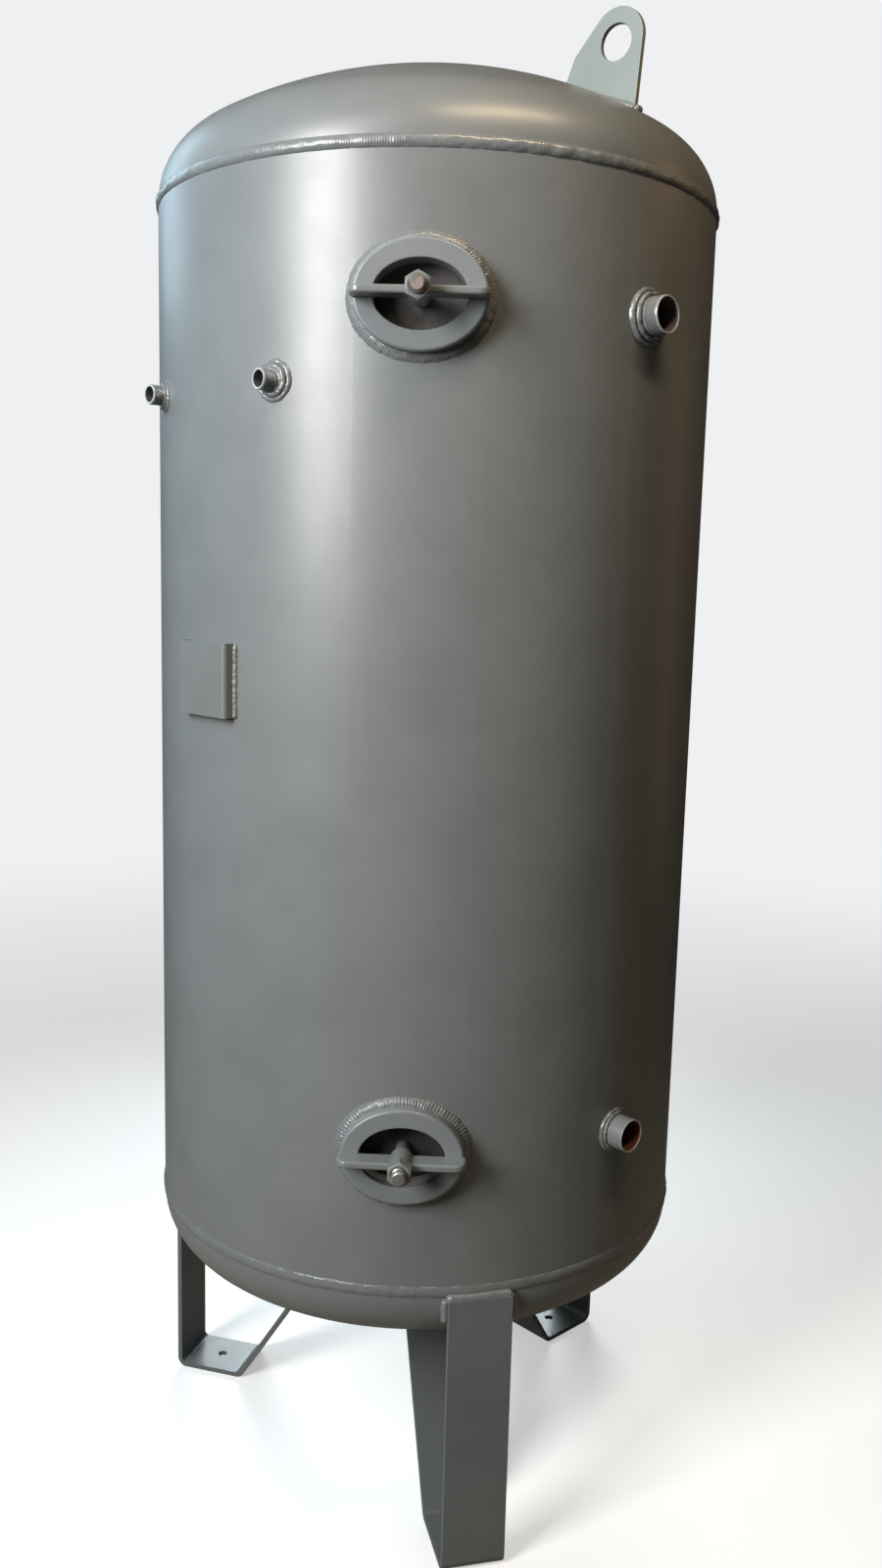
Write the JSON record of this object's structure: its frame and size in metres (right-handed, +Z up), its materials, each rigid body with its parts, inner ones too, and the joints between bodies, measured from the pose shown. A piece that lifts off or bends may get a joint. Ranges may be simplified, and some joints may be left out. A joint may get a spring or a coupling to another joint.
{
  "type": "air receiver tank",
  "caption": "Upright cylindrical air receiver with dished heads, bent-bar legs, oval handholes with crossbar clamps, pipe nipples, lifting lugs and a plate bracket.",
  "frame": {"origin": "on the floor, at the centre of the circle through the three anchor holes, under the vessel's axis", "axes": "+Z up along the vessel, -Y out of the two handholes, +X to the right as one faces the handholes"},
  "size_m": [0.8116, 0.8875, 2.097],
  "materials": {
    "vessel_paint": "semi-gloss mid grey enamel, slight orange peel",
    "bracket_paint": "semi-gloss mid grey enamel on cut bar and plate",
    "fitting_paint": "grey enamel on forged and turned steel",
    "nipple_paint": "thin grey enamel over pipe and thread",
    "weld_paint": "grey enamel over rippled weld",
    "bare_steel": "bare cut stud end, lightly oxidised",
    "dark_steel": "dull unpainted pressed steel",
    "rubber": "matt black rubber"
  },
  "bodies": {
    "tank": {"shell": "vessel_paint", "top_head": "vessel_paint", "bottom_head": "vessel_paint", "top_seam_weld": "weld_paint", "bottom_seam_weld": "weld_paint", "long_seam_weld": "weld_paint", "front_leg": "bracket_paint", "left_leg": "bracket_paint", "rear_leg": "bracket_paint", "front_leg_weld": "weld_paint", "left_leg_weld": "weld_paint", "rear_leg_weld": "weld_paint", "front_lug": "bracket_paint", "rear_lug": "bracket_paint", "front_lug_weld": "weld_paint", "rear_lug_weld": "weld_paint", "outlet_nipple": "nipple_paint", "inlet_nipple": "nipple_paint", "gauge_nipple": "nipple_paint", "valve_nipple": "nipple_paint", "drain_socket": "nipple_paint", "outlet_weld": "weld_paint", "inlet_weld": "weld_paint", "gauge_weld": "weld_paint", "valve_weld": "weld_paint", "drain_weld": "weld_paint", "plate_bracket": "bracket_paint", "plate_bracket_weld": "weld_paint", "upper_ring": "fitting_paint", "upper_ring_weld": "weld_paint", "lower_ring": "fitting_paint", "lower_ring_weld": "weld_paint"},
    "upper_bridge": {"upper_crossbar": "fitting_paint"},
    "upper_clamp": {"upper_nut": "fitting_paint"},
    "upper_closure": {"upper_cover": "dark_steel", "upper_gasket": "rubber", "upper_stud": "bare_steel"},
    "lower_bridge": {"lower_crossbar": "fitting_paint"},
    "lower_clamp": {"lower_nut": "fitting_paint"},
    "lower_closure": {"lower_cover": "dark_steel", "lower_gasket": "rubber", "lower_stud": "bare_steel"}
  },
  "joints": [
    {"name": "upper_crossbar_off", "type": "slide", "parent": "tank", "child": "upper_bridge", "axis": [0, -1, 0], "range_m": [0, 0.09]},
    {"name": "upper_nut_turn", "type": "hinge", "parent": "upper_bridge", "child": "upper_clamp", "pos_m": [0, -0.463, 1.688], "axis": [0, -1, 0], "range_deg": [0, 1440.5]},
    {"name": "upper_cover_in", "type": "slide", "parent": "tank", "child": "upper_closure", "axis": [0, 1, 0], "range_m": [0, 0.01]},
    {"name": "lower_crossbar_off", "type": "slide", "parent": "tank", "child": "lower_bridge", "axis": [0, -1, 0], "range_m": [0, 0.09]},
    {"name": "lower_nut_turn", "type": "hinge", "parent": "lower_bridge", "child": "lower_clamp", "pos_m": [0, -0.463, 0.612], "axis": [0, -1, 0], "range_deg": [0, 1440.5]},
    {"name": "lower_cover_in", "type": "slide", "parent": "tank", "child": "lower_closure", "axis": [0, 1, 0], "range_m": [0, 0.01]}
  ],
  "couplings": [
    {"joint": "upper_nut_turn", "follows": "upper_cover_in", "rad_per_m": 2513.3},
    {"joint": "lower_nut_turn", "follows": "lower_cover_in", "rad_per_m": 2513.3}
  ]
}
